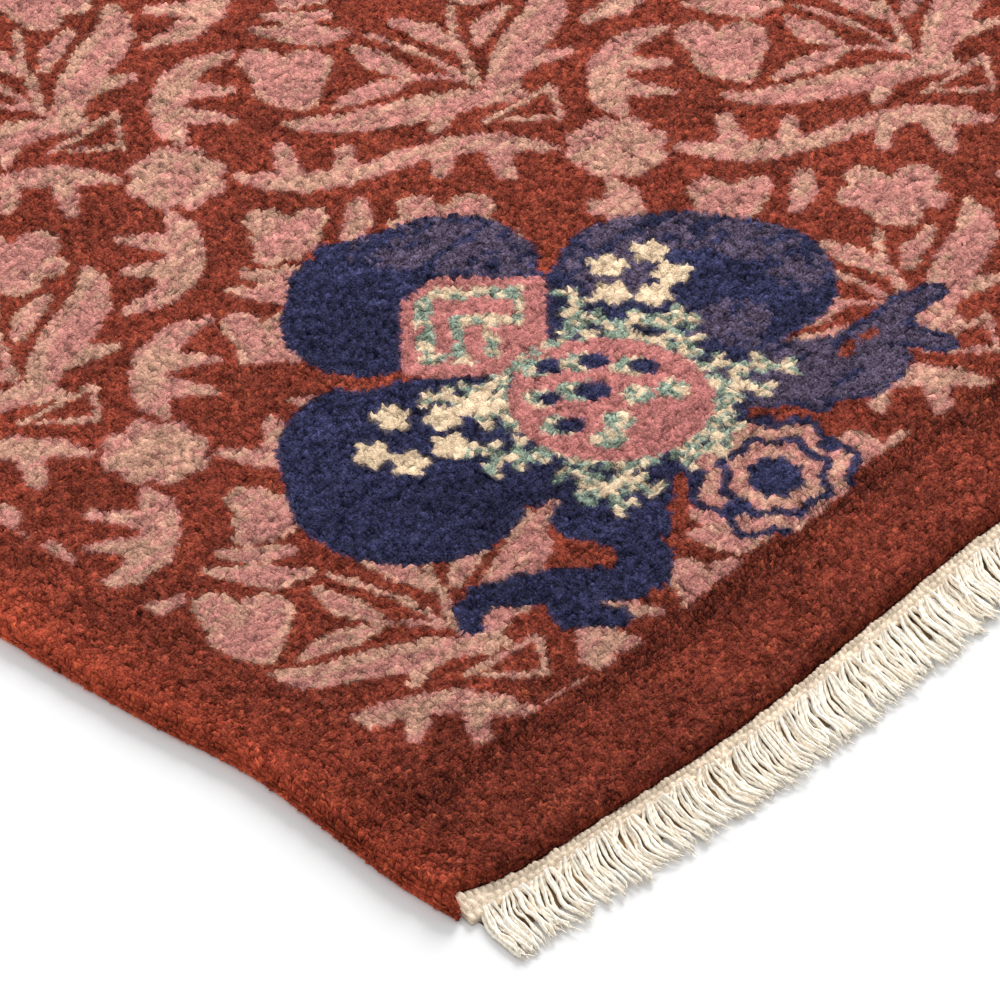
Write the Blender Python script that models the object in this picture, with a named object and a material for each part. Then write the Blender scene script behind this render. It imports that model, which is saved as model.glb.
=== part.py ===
"""A hand-knotted rug with a fringed end at each short side, lying flat on the floor.

Metres, +Z up. X runs along the fringed ends and Y along the length, from the near end at -Y
to the far end at +Y. The origin is on the floor, in the middle of the rug. The far end is the
near end turned half round, and so is every wave of the outline.
"""

import math

import bmesh
import bpy

# The knotted cloth
KNOT = 0.0037
KNOTS_ACROSS = 239
KNOT_ROWS = 384
WIDTH = KNOT * KNOTS_ACROSS
LENGTH = KNOT * KNOT_ROWS
THICKNESS = 0.0100

# How the shorn pile rounds over at its edges: inset from the outline, height over the floor
EDGE_PROFILE = (
    (0.0008, 0.0000),
    (0.0000, 0.0018),
    (0.0000, 0.0042),
    (0.0013, 0.0074),
    (0.0036, 0.0093),
    (0.0068, THICKNESS),
)

# The crown rises and dips this much, over waves of these lengths
UNEVENNESS = 0.0006
WAVE_ACROSS = 0.310
WAVE_ALONG = 0.430

# The outline's waves: place along the edge from its first corner, spread, shift inwards
SIDE_WAVES = (
    (0.015, 0.035, -0.0042),
    (0.120, 0.045, 0.0055),
    (0.400, 0.110, -0.0020),
    (0.760, 0.140, 0.0026),
    (1.120, 0.120, -0.0022),
    (1.400, 0.050, 0.0030),
)
END_WAVES = (
    (0.000, 0.028, 0.0115),
    (0.170, 0.085, -0.0060),
    (0.345, 0.055, 0.0035),
    (0.590, 0.100, -0.0025),
    (0.884, 0.035, 0.0070),
)

# The flat-woven end that holds the warps, and the clear joint between two pieces
JOINT = 0.0003
WOVEN_WIDTH = 0.0090
WOVEN_INNER_HEIGHT = 0.0034
WOVEN_OUTER_HEIGHT = 0.0026

# At the drawn-in corner the strip starts this far from the side, and its outer edge is let out
STRIP_START_INNER = 0.0045
STRIP_START_OUTER = 0.0015
CORNER_RELEASE = 0.75

# The fringe: warps gathered in bundles, each built as two locks that lie on the floor
BUNDLES = 60
BUNDLE_CROWDING = 0.15
LOCKS_PER_BUNDLE = 2
LOCK_STEPS = 3
ROOT_OFFSET = 0.20
ROOT_HALF_WIDTH = 0.155
TIP_OFFSET = 0.25
TIP_HALF_WIDTH = 0.17
TIP_HEIGHT = 0.0016
FRINGE_REACH = 0.0290
REACH_VARIATION = 0.0020
LEAN = 0.0100
LEAN_VARIATION = 0.0022
CURL = 0.0030

# The body's grid of faces, whose columns keep step with the bundles at the ends
BUNDLES_PER_COLUMN = 2
BODY_COLUMNS = BUNDLES // BUNDLES_PER_COLUMN
BODY_ROWS = 36


def edge_shift(waves, along):
    """How far an edge is drawn inwards at this distance from its first corner."""
    return sum(shift * math.exp(-(((along - place) / spread) ** 2)) for place, spread, shift in waves)


def lay(x, y):
    """Where a point of the straight, rectangular cloth comes to lie on the floor."""
    left = 0.5 - x / WIDTH
    near = min(max(0.5 - y / LENGTH, 0.0), 1.0)
    from_left_side = left * edge_shift(SIDE_WAVES, LENGTH / 2 + y)
    from_right_side = (1 - left) * edge_shift(SIDE_WAVES, LENGTH / 2 - y)
    from_near_end = near * edge_shift(END_WAVES, WIDTH / 2 + x)
    from_far_end = (1 - near) * edge_shift(END_WAVES, WIDTH / 2 - x)
    return x + from_left_side - from_right_side, y + from_near_end - from_far_end


def lay_woven(x, out):
    """Where a point of the woven end or its fringe comes to lie, this far out from the pile."""
    laid_x, laid_y = lay(x, -LENGTH / 2 - JOINT - out)
    released = CORNER_RELEASE * min(out / WOVEN_WIDTH, 1.0)
    return laid_x, laid_y - released * edge_shift(END_WAVES[:1], WIDTH / 2 + x)


def bundle_edge(index):
    """Where along the end one bundle gives way to the next: wider apart towards the corners."""
    share = index / BUNDLES
    crowded = share + BUNDLE_CROWDING * math.sin(math.tau * share) / math.tau
    return WIDTH * (crowded - 0.5)


def crown_height(x, y):
    """The height of the pile's top, with the soft waves of a cloth laid out by hand."""
    wave = math.sin(math.tau * x / WAVE_ACROSS + 0.8) * math.cos(math.tau * y / WAVE_ALONG)
    return THICKNESS + UNEVENNESS * wave


def material(name, colour, roughness):
    made = bpy.data.materials.new(name)
    made.use_nodes = True
    shader = made.node_tree.nodes["Principled BSDF"]
    shader.inputs["Base Color"].default_value = (*colour, 1.0)
    shader.inputs["Roughness"].default_value = roughness
    shader.inputs["Metallic"].default_value = 0.0
    return made


def add_object(name, mesh, finish):
    made = bpy.data.objects.new(name, mesh)
    if not mesh.materials:
        mesh.materials.append(finish)
    bpy.context.collection.objects.link(made)
    return made


def finished_mesh(bm, name):
    bmesh.ops.recalc_face_normals(bm, faces=bm.faces)
    mesh = bpy.data.meshes.new(name)
    bm.to_mesh(mesh)
    bm.free()
    return mesh


def pile_body_mesh():
    """The knotted cloth: a grid for its crown, whose rim is drawn out and down to the floor."""
    bm = bmesh.new()
    bmesh.ops.create_grid(bm, x_segments=BODY_COLUMNS, y_segments=BODY_ROWS, size=1.0)
    share = bm.verts.layers.float_vector.new("share")
    for vert in bm.verts:
        column_line = bundle_edge(BUNDLES * (1 + vert.co.x) / 2)
        vert[share] = (column_line / (WIDTH / 2), vert.co.y, 0.0)

    def place(vert, inset, height):
        across, along, _ = vert[share]
        x, y = lay(across * (WIDTH / 2 - inset), along * (LENGTH / 2 - inset))
        vert.co = (x, y, height if height < THICKNESS else crown_height(x, y))

    crown_inset, crown = EDGE_PROFILE[-1]
    for vert in bm.verts:
        place(vert, crown_inset, crown)
    rim = [edge for edge in bm.edges if edge.is_boundary]
    for inset, height in reversed(EDGE_PROFILE[:-1]):
        drawn = bmesh.ops.extrude_edge_only(bm, edges=rim)["geom"]
        for vert in drawn:
            if isinstance(vert, bmesh.types.BMVert):
                place(vert, inset, height)
        rim = [edge for edge in drawn if isinstance(edge, bmesh.types.BMEdge) and edge.is_boundary]
    bmesh.ops.holes_fill(bm, edges=rim, sides=0)
    mesh = finished_mesh(bm, "pile_body")
    mesh.shade_smooth()
    mesh.set_sharp_from_angle(angle=math.radians(40))
    return mesh


def locks():
    """Each lock's root and tip along the end, its half widths, its reach and its lean."""
    for index in range(BUNDLES):
        start = bundle_edge(index)
        pitch = bundle_edge(index + 1) - start
        for side in range(LOCKS_PER_BUNDLE):
            sign = 2 * side - 1
            turn = LOCKS_PER_BUNDLE * index + side
            yield {
                "root": start + pitch * (0.5 + sign * ROOT_OFFSET),
                "tip": start + pitch * (0.5 + sign * TIP_OFFSET),
                "root_half": pitch * ROOT_HALF_WIDTH,
                "tip_half": pitch * TIP_HALF_WIDTH,
                "reach": FRINGE_REACH + REACH_VARIATION * math.sin(2.4 * turn) * math.cos(0.7 * turn),
                "lean": LEAN + LEAN_VARIATION * math.sin(0.31 * turn),
            }


def woven_end_faces(bm):
    """The strip's underside, a face for each column of the body, with corners at the locks' roots."""
    roots = list(locks())
    locks_per_column = LOCKS_PER_BUNDLE * BUNDLES_PER_COLUMN
    for column in range(BODY_COLUMNS):
        stretch = [bundle_edge(BUNDLES_PER_COLUMN * column)]
        for lock in roots[locks_per_column * column : locks_per_column * (column + 1)]:
            stretch += [lock["root"] - lock["root_half"], lock["root"] + lock["root_half"]]
        stretch.append(bundle_edge(BUNDLES_PER_COLUMN * (column + 1)))
        inner = [lay_woven(stretch[-1], 0.0), lay_woven(stretch[0], 0.0)]
        if column == 0:
            share = STRIP_START_INNER / (stretch[-1] - stretch[0])
            inner[1] = tuple(first + share * (last - first) for last, first in zip(*inner))
            stretch[0] += STRIP_START_OUTER
        outline = inner + [lay_woven(x, WOVEN_WIDTH) for x in stretch]
        bm.faces.new([bm.verts.new((*point, 0.0)) for point in outline])
    bmesh.ops.remove_doubles(bm, verts=bm.verts, dist=0.00001)


def lock_section(lock, share):
    """The middle, half width and height of a lock at this share of its reach."""
    straight = lock["root"] + (lock["tip"] - lock["root"]) * share
    swing = -lock["lean"] * share - CURL * math.sin(math.pi * share)
    middle = lay_woven(straight + swing, WOVEN_WIDTH + lock["reach"] * share)
    half = lock["root_half"] + (lock["tip_half"] - lock["root_half"]) * share
    height = WOVEN_OUTER_HEIGHT + (TIP_HEIGHT - WOVEN_OUTER_HEIGHT) * share
    return middle, half, height


def grow_lock(bm, face, lock):
    """Draws a lock out of its root face, level on the floor."""
    for step in range(1, LOCK_STEPS + 1):
        face = bmesh.ops.extrude_discrete_faces(bm, faces=[face])["faces"][0]
        centre = face.calc_center_median()
        (x, y), half, height = lock_section(lock, step / LOCK_STEPS)
        for vert in face.verts:
            side = 1 if vert.co.x > centre.x else -1
            top = vert.co.z > centre.z
            vert.co = (x + side * half, y, height if top else 0.0)


def fringed_end_mesh():
    """The flat-woven strip with its locks, fused into one piece."""
    bm = bmesh.new()
    woven_end_faces(bm)
    middle_line = -LENGTH / 2 - JOINT - WOVEN_WIDTH / 2
    raised = bmesh.ops.extrude_face_region(bm, geom=bm.faces[:], use_keep_orig=True)["geom"]
    for vert in raised:
        if isinstance(vert, bmesh.types.BMVert):
            _, shift = lay(vert.co.x, -LENGTH / 2)
            inner = vert.co.y - (shift + LENGTH / 2) > middle_line
            vert.co.z = WOVEN_INNER_HEIGHT if inner else WOVEN_OUTER_HEIGHT
    bmesh.ops.recalc_face_normals(bm, faces=bm.faces)
    facing_out = [face for face in bm.faces if face.normal.y < -0.7 and len(face.verts) == 4]
    rooted = []
    for lock in locks():
        root_x, _ = lay(lock["root"], middle_line - WOVEN_WIDTH / 2)
        face = min(facing_out, key=lambda side: abs(side.calc_center_median().x - root_x))
        rooted.append((face, lock))
    for face, lock in rooted:
        grow_lock(bm, face, lock)
    return finished_mesh(bm, "fringed_end")


for leftover in list(bpy.data.objects):
    bpy.data.objects.remove(leftover)

wool = material("wool_pile", (0.26, 0.045, 0.024), 0.95)
cotton = material("cotton_warp", (0.72, 0.64, 0.52), 0.9)

add_object("pile_body", pile_body_mesh(), wool)
near_end = add_object("fringed_end_near", fringed_end_mesh(), cotton)
far_end = add_object("fringed_end_far", near_end.data, cotton)
far_end.rotation_euler.z = math.pi
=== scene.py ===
"""A hand-knotted rug: the looks of its pile, woven ends and fringe, for one shared frame."""

import math

import bpy
import mathutils
import numpy as np
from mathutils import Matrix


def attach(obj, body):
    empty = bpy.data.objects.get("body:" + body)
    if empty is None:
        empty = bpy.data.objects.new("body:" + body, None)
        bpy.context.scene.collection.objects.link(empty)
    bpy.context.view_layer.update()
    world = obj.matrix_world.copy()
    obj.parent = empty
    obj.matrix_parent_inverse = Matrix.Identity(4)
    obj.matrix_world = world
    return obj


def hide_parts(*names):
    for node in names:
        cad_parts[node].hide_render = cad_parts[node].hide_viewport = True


# The knotted cloth, in metres, as in the part
KNOT = 0.0037
KNOTS_ACROSS = 239
KNOT_ROWS = 384
WIDTH = KNOT * KNOTS_ACROSS
LENGTH = KNOT * KNOT_ROWS

# The wools
FIELD, PINK, BEIGE, NAVY, PURPLE, ROSE, CREAM, GREEN, BRIGHT = range(9)

# The repeat: a diamond lattice with these half steps, in knots
HALF_STEP_ACROSS = 42
HALF_STEP_ALONG = 36

# The plain bands round the field, in millimetres, and how its corners are cleared of scraps
SIDE_BAND = 50
END_BAND = 66
CLEAR_CORNER = 130

# How ragged the motifs' edges are, in millimetres, and how far a place strays, in metres
RAGGED = 1.4
STRAY = 0.0008

# Knots charted beyond the rug's edge, so that a stray place finds one
SPARE_KNOTS = 4

# The motifs are drawn askew: their own two axes, turned this much from the rug's
ASKEW = math.radians(-47.5)

# A motif is its fill, its rim, the rim's width and its strokes, each a run of (across, up, half
# width) in millimetres from the middle of the repeat
CRESCENT = (
    ((29, 0, 3), (45, -3, 7), (62, -4, 8), (78, 0, 7), (93, 7, 6), (108, 22, 2)),
    ((54, 3, 7), (50, 23, 4)),
    ((79, 4, 6), (80, 22, 4)),
)
UPRIGHT_CRESCENT = (
    ((3, 27, 3), (-3, 38, 8), (-5, 55, 9), (-3, 72, 9), (6, 88, 7), (22, 99, 3)),
    ((2, 68, 8), (24, 69, 3)),
    ((0, 49, 8), (26, 45, 3)),
)
ROSETTE = tuple(
    ((0, 0, 14), (17 * math.cos(math.radians(a)), 17 * math.sin(math.radians(a)), 8))
    for a in range(22, 382, 45)
)


def turned(strokes):
    """The same strokes, turned half round the middle of the repeat."""
    return tuple(tuple((-s, -t, half) for s, t, half in stroke) for stroke in strokes)


REPEAT = (
    (PINK, BEIGE, 1.6, (((-118, 93, 1.5), (-103, 85, 2), (-88, 75, 2), (-66, 53, 2)),)),
    (PINK, PINK, 0, (((-98, 58, 1.6), (-83, 58, 2), (-68, 55, 2), (-55, 47, 2)),)),
    (BEIGE, BEIGE, 0, (((-78, 116, 2), (-76, 90, 2.4), (-71, 78, 2.4), (-66, 55, 3)),)),
    (PINK, BEIGE, 2.5, (((-122, 81, 3), (-112, 71, 8), (-100, 62, 4)),)),
    (PINK, BEIGE, 2.5, (((-129, 32, 2), (-118, 42, 6), (-106, 49, 6), (-95, 57, 2)),)),
    (PINK, BEIGE, 2.5, (((-104, 104, 3), (-90, 96, 7), (-76, 84, 4)),)),
    (PINK, BEIGE, 2.5, (((-65, 86, 3), (-62, 100, 6), (-53, 116, 3)),)),
    (PINK, BEIGE, 2.5, (((-171, 95, 2), (-158, 93, 6), (-141, 91, 9), (-127, 95, 3)),)),
    (PINK, BEIGE, 3.2, (((-83, 156, 9), (-76, 146, 12)), ((-58, 157, 10), (-64, 146, 12)),
                        ((-88, 142, 8), (-52, 140, 8)), ((-72, 136, 13), (-68, 130, 12)))),
    (BEIGE, BEIGE, 0, (((51, 42, 2), (64, 41, 6), (82, 44, 8), (102, 52, 9.5), (124, 61, 9),
                        (143, 66, 7), (158, 69, 4)), ((124, 55, 6), (121, 38, 3)))),
    (PINK, PINK, 0, (((60, 39, 3), (80, 40, 5), (101, 47, 6), (124, 55, 6), (140, 62, 3)),)),
    (BEIGE, BEIGE, 0, (((-52, 40, 4), (-52, 57, 8), (-48, 76, 10), (-41, 94, 11), (-34, 112, 9.5),
                        (-32, 128, 7), (-35, 138, 3)), ((-43, 71, 8), (-22, 79, 3)))),
    (PINK, PINK, 0, (((-48, 58, 4), (-44, 76, 7), (-37, 94, 8), (-30, 112, 7), (-29, 128, 4)),)),
    (BEIGE, BEIGE, 0, (((-60, 21, 1.6), (-30, 50, 2)), ((-30, 50, 2), (-26, 25, 1.6)),
                       ((-52, 22, 1.6), (-27, 25, 1.8)))),
    (PINK, BEIGE, 3.0, (((37, 94, 10), (42, 84, 10)), ((59, 92, 12), (58, 82, 12)),
                        ((51, 72, 16), (53, 70, 15)), ((56, 66, 9), (58, 61, 8)))),
    (PINK, BEIGE, 3.0, (((42, -34, 10), (50, -42, 11)), ((64, -31, 8), (60, -38, 10)),
                        ((51, -46, 16), (50, -48, 15)), ((45, -56, 9), (43, -60, 7)))),
    (PINK, BEIGE, 2.2, (((32, -72, 3), (45, -75, 6), (60, -70, 4)),)),
    (BEIGE, PINK, 3.0, (((82, -48, 4), (86, -34, 7), (86, -22, 5)),)),
    (BEIGE, PINK, 2.0, CRESCENT),
    (BEIGE, PINK, 2.0, turned(CRESCENT)),
    (BEIGE, PINK, 2.0, UPRIGHT_CRESCENT),
    (BEIGE, PINK, 2.0, turned(UPRIGHT_CRESCENT)),
    (BEIGE, PINK, 2.4, ROSETTE),
)

# No motif reaches further than this from the middle of its repeat, in metres
MOTIF_REACH = 0.2

# The last motifs of the repeat stand round its middle, and give way where the blossom lies
MIDDLE_MOTIFS = 5
BLOSSOM_PLACES = ((-1, -4), (1, 4))

# The blossom, in millimetres from the middle of its medallion, and the middle's shift in metres
BLOSSOM_SHIFT = (0.011, 0.004)
BLOSSOM_REACH = 190
BLOSSOM = (
    (FIELD, FIELD, 0, (((-170, 16, 14), (-96, 22, 12)), ((-28, 100, 14), (-24, 150, 14)))),
    (NAVY, NAVY, 0, (((-115, 57, 38), (-112, 80, 38)), ((-96, 86, 41), (-72, 96, 42)),
                     ((-72, 100, 40), (-67, 97, 37)), ((-130, 111, 7), (-110, 114, 9)))),
    (NAVY, NAVY, 0, (((16, 100, 40), (30, 101, 43)), ((30, 100, 43), (57, 94, 44)),
                     ((58, 84, 44), (44, 52, 32)), ((-4, 84, 26), (0, 60, 30)))),
    (NAVY, NAVY, 0, (((-104, -34, 51), (-96, -62, 54)), ((-90, -20, 38), (-50, -8, 28)),
                     ((-60, -40, 36), (-20, -44, 32)))),
    (NAVY, NAVY, 0, (((-48, 0, 30), (20, 30, 50)), ((-38, -12, 40), (0, -22, 52)))),
    (NAVY, NAVY, 0, (((22, -10, 34), (50, -6, 24)), ((8, -50, 30), (0, -62, 24)))),
    (PURPLE, NAVY, 4.0, (((52, 6, 22), (80, 16, 25), (104, 22, 25), (114, 27, 20)),
                         ((108, 36, 14), (124, 56, 11), (130, 70, 9), (144, 81, 7)),
                         ((124, 50, 10), (147, 42, 8)), ((86, -1, 9), (92, -8, 6)))),
    (NAVY, NAVY, 0, (((-18, -84, 17), (4, -90, 18)), ((8, -92, 7), (26, -92, 4)),
                     ((6, -100, 14), (6, -120, 14)), ((0, -129, 11), (-30, -132, 13), (-50, -134, 12),
                     (-64, -138, 9), (-72, -148, 7), (-70, -160, 6)),
                     ((-30, -140, 10), (-28, -152, 8), (-6, -151, 7)))),
    (PINK, BEIGE, 2.0, (((-33, -72, 2), (-40, -86, 4), (-48, -102, 6), (-55, -116, 7), (-60, -124, 4)),)),
    (BRIGHT, BRIGHT, 0, (((-30, -112, 6), (-12, -111, 6)), ((18, -101, 3), (32, -104, 3)),
                         ((25, -58, 3), (24, -98, 4)))),
    (BRIGHT, BRIGHT, 0, (((103, 31, 3), (106, 40, 3)), ((112, 44, 3), (116, 48, 3)),
                         ((62, -13, 3), (78, -11, 3)), ((-122, 13, 4), (-104, 15, 3)))),
    (BRIGHT, BRIGHT, 0, (((-30, 98, 3), (-26, 116, 6), (-24, 144, 9)),)),
)

# Ovals: their middle and their two half widths
PURPLE_STREAKS = (
    (-78, 116, 40, 20), (-50, 112, 18, 24), (16, 130, 46, 20), (0, 100, 20, 26),
    (90, 98, 16, 16), (54, 56, 18, 18), (62, 122, 24, 16), (100, 24, 40, 24),
)
CUP = (-63, 55, 34, 36)
MEDALLION = (-2, 0, 47, 45)
SMALL_ROSE = (70, -58, 38, 38)

# The small rose's rings from the outside in, navy by turns, and the dots beside it
ROSE_RINGS = (1.08, 0.94, 0.72, 0.58, 0.36)
ROSE_DOTS = ((-26, 20), (-20, -22), (26, 22))
DOT_RADIUS = 6

# The medallion's spots: their middle and their kind, 0 for one without a navy eye
SPOTS = (
    (-29, 25, 2), (-8, 28, 2), (15, 24, 2), (-9, 7, 3), (-30, 2, 1), (-21, -18, 2),
    (29, 6, 0), (13, 3, 0), (3, -15, 0), (-2, -29, 0),
)

# The florets' middles, and how far their five petals reach
FLORET_REACH = 8.3
FLORET_PETAL = 1.3
FLORETS = (
    (-1, 100), (18, 111), (28, 94), (1, 79), (20, 78),
    (-103, -11), (-79, -11), (-112, -37), (-95, -43), (-76, -31), (-64, -2),
)

# The sprigs' stems, with a prong to each side by turns
STEM_HALF = 2.6
PRONG_STEP = 8
PRONG_LENGTH = 7
PRONG_HALF = 2.4
SPRIGS = (
    ((-17, 80), (-14, 62), (-22, 50)), ((-14, 60), (6, 55), (22, 62), (38, 60)),
    ((22, 60), (30, 48), (40, 32)),
    ((40, 24), (58, 23), (70, 24), (82, 17)), ((46, 10), (60, 9), (68, 0)), ((48, -8), (56, -2)),
    ((-86, 5), (-72, 1), (-60, 10), (-50, 14)), ((-62, -12), (-52, -6), (-46, -16)),
    ((-66, -32), (-55, -38), (-45, -40), (-34, -42)), ((-60, -46), (-54, -42)),
    ((-26, -50), (-12, -56), (-5, -68), (-3, -82)), ((4, -48), (-2, -58), (6, -62), (12, -68)),
    ((-20, -68), (-10, -62)), ((28, -46), (42, -36), (46, -28), (56, -22)),
)


def stroke_depth(s, t, stroke):
    """How deep each point lies inside a tapered stroke; negative outside."""
    depth = np.full(s.shape, -1e9)
    for (s0, t0, h0), (s1, t1, h1) in zip(stroke[:-1], stroke[1:]):
        ds, dt = s1 - s0, t1 - t0
        share = np.clip(((s - s0) * ds + (t - t0) * dt) / (ds * ds + dt * dt), 0, 1)
        gap = np.hypot(s - s0 - share * ds, t - t0 - share * dt)
        depth = np.maximum(depth, h0 + (h1 - h0) * share - gap)
    return depth


def askew(dx, dy):
    """The same offset along the motifs' own two axes."""
    return dx * math.cos(ASKEW) + dy * math.sin(ASKEW), -dx * math.sin(ASKEW) + dy * math.cos(ASKEW)


def motif_axes(x, y, middle, turn):
    """Millimetres from a motif's middle along its own two axes."""
    return askew((x - middle[0]) * 1000 * turn, (y - middle[1]) * 1000 * turn)


def oval(s, t, shape):
    """How far out each point lies of an oval, whose edge is at 1."""
    middle_s, middle_t, half_s, half_t = shape
    return np.hypot((s - middle_s) / half_s, (t - middle_t) / half_t)


def stamp(chart, s, t, motifs, ruffle):
    """Draws motifs on the chart, each with its rim, the later ones over the earlier."""
    for fill, rim, rim_width, strokes in motifs:
        depth = np.full(s.shape, -1e9)
        for stroke in strokes:
            depth = np.maximum(depth, stroke_depth(s, t, stroke))
        depth += ruffle
        chart[depth > 0] = rim
        chart[depth > rim_width] = fill


def small_rose(chart, s, t, ruffle, blush):
    """A wavy rose of navy and blush rings, with three navy dots round it."""
    middle_s, middle_t = SMALL_ROSE[:2]
    petals = 1 + 0.09 * np.cos(8 * np.arctan2(t - middle_t, s - middle_s))
    ring = oval(s, t, SMALL_ROSE) * petals + ruffle * 0.02
    for number, outer in enumerate(ROSE_RINGS):
        inside = ring < outer
        chart[inside] = blush[inside] if number % 2 else NAVY
    for dot_s, dot_t in ROSE_DOTS:
        chart[np.hypot(s - middle_s - dot_s, t - middle_t - dot_t) < DOT_RADIUS] = NAVY


def sprig(chart, s, t, path, ruffle, mixed):
    """A thin stem along this path, with its prongs."""
    stem = stroke_depth(s, t, tuple((a, b, STEM_HALF) for a, b in path))
    for (s0, t0), (s1, t1) in zip(path[:-1], path[1:]):
        reach = math.hypot(s1 - s0, t1 - t0)
        out_s, out_t = -(t1 - t0) / reach, (s1 - s0) / reach
        for step in range(int(reach / PRONG_STEP) + 1):
            at_s = s0 + (s1 - s0) * step * PRONG_STEP / reach
            at_t = t0 + (t1 - t0) * step * PRONG_STEP / reach
            side = PRONG_LENGTH if step % 2 else -PRONG_LENGTH
            prong = ((at_s, at_t, PRONG_HALF), (at_s + side * out_s, at_t + side * out_t, STEM_HALF))
            stem = np.maximum(stem, stroke_depth(s, t, prong))
    inside = stem + ruffle * 0.5 > 0
    chart[inside] = mixed[inside]


def cup(chart, s, t, ruffle, flip, mixed):
    """The square cup with its outer corner cut off, and dashes along its rim and its middle."""
    middle_s, middle_t, half_s, half_t = CUP
    square = np.maximum(np.abs(s - middle_s) / half_s, np.abs(t - middle_t) / half_t)
    corner = (middle_s - s) / half_s + (t - middle_t) / half_t
    whole = (square + ruffle * 0.02 < 1) & (corner < 1.50)
    chart[whole] = ROSE
    s = s - middle_s
    t = t - middle_t
    outer = (square > 0.56) & (square < 0.82) & ((s < 0) | (t > 0)) & (t > -28) & (s < 24)
    bars = (np.abs(s + 8) < 3) | (np.abs(s - 8) < 4) | (np.abs(t - 5) < 3.5)
    inner = bars & (s > -11) & (s < 20) & (t > -22) & (t < 8.5)
    dashed = whole & (outer | inner) & (flip > 0.12) & (corner < 1.32)
    chart[dashed] = mixed[dashed]


def medallion(chart, s, t, ruffle, flips, mixed):
    """The round medallion, its ragged green and cream fringe, and its spots."""
    out = oval(s, t, MEDALLION)
    chart[(out < 1.13) & (flips[0] < 0.5)] = GREEN
    chart[(out < 1.13) & (flips[0] > 0.75)] = CREAM
    chart[out + ruffle * 0.02 < 1] = ROSE
    for spot_s, spot_t, kind in SPOTS:
        halo = oval(s, t, (spot_s - 2 - 1.5 * kind, spot_t, 8 + kind, 7)) + 0.3 * (flips[2] - 0.5)
        chart[halo < 1] = mixed[halo < 1]
        if kind:
            chart[oval(s, t, (spot_s, spot_t, 4.5 + 1.5 * kind, 4 + kind)) < 1] = NAVY


def blossom(chart, s, t, ruffle, flips):
    """The large blossom: navy petals round a cup and a spotted medallion, with sprigs and florets."""
    stamp(chart, s, t, BLOSSOM, ruffle)
    petal = chart == NAVY
    for streak in PURPLE_STREAKS:
        near = oval(s, t, streak) + 0.5 * (flips[1] - 0.5)
        chart[petal & (near < 1.0) & (flips[1] > 0.14)] = PURPLE
    mixed = np.where(flips[0] < 0.45, CREAM, GREEN)
    small_rose(chart, s, t, ruffle, np.where(flips[0] < 0.55, PINK, BEIGE))
    for path in SPRIGS:
        sprig(chart, s, t, path, ruffle, mixed)
    cup(chart, s, t, ruffle, flips[2], mixed)
    medallion(chart, s, t, ruffle, flips, mixed)
    for floret_s, floret_t in FLORETS:
        angle = np.arctan2(t - floret_t, s - floret_s)
        reach = FLORET_REACH + FLORET_PETAL * np.cos(5 * angle + floret_s)
        chart[np.hypot(s - floret_s, t - floret_t) + ruffle * 0.4 < reach] = CREAM


def colour_chart(across, along):
    """Which wool is tied at these places, given as one line across the rug and one along it."""
    shape = (len(along), len(across))
    rng = np.random.default_rng(11)
    knots = rng.random((3, KNOT_ROWS + 2 * SPARE_KNOTS, KNOTS_ACROSS + 2 * SPARE_KNOTS))
    ruffle = (rng.random(shape) - 0.5) * RAGGED
    x = across[None, :] + (rng.random(shape) - 0.5) * STRAY
    y = along[:, None] + (rng.random(shape) - 0.5) * STRAY
    row = np.floor(y / KNOT).astype(int) + KNOT_ROWS // 2 + SPARE_KNOTS
    column = np.floor(x / KNOT).astype(int) + KNOTS_ACROSS // 2 + SPARE_KNOTS
    flips = knots[:, row.clip(0, knots.shape[1] - 1), column.clip(0, knots.shape[2] - 1)]
    chart = np.full(shape, FIELD)
    step_across, step_along = HALF_STEP_ACROSS * KNOT, HALF_STEP_ALONG * KNOT
    for m in range(-4, 5):
        for n in range(-7, 8):
            if (m + n) % 2 == 0:
                continue
            middle = (m * step_across, n * step_along)
            near = (slice(*np.searchsorted(along, (middle[1] - MOTIF_REACH, middle[1] + MOTIF_REACH))),
                    slice(*np.searchsorted(across, (middle[0] - MOTIF_REACH, middle[0] + MOTIF_REACH))))
            s, t = motif_axes(x[near], y[near], middle, 1)
            motifs = REPEAT[:-MIDDLE_MOTIFS] if (m, n) in BLOSSOM_PLACES else REPEAT
            stamp(chart[near], s, t, motifs, ruffle[near])
    from_side = (WIDTH / 2 - np.abs(x)) * 1000
    from_end = (LENGTH / 2 - np.abs(y)) * 1000
    chart[(from_side < SIDE_BAND) | (from_end < END_BAND) | (from_side + from_end < CLEAR_CORNER)] = FIELD
    for turn in (1, -1):
        middle = (turn * (-step_across + BLOSSOM_SHIFT[0]), turn * (-4 * step_along + BLOSSOM_SHIFT[1]))
        s, t = motif_axes(x, y, middle, turn)
        part = chart.copy()
        blossom(part, s, t, ruffle, flips)
        seen = (np.hypot(s, t) < BLOSSOM_REACH) & (from_side >= SIDE_BAND - 8) & (from_end >= END_BAND - 6)
        chart = np.where(seen, part, chart)
    return chart


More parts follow.
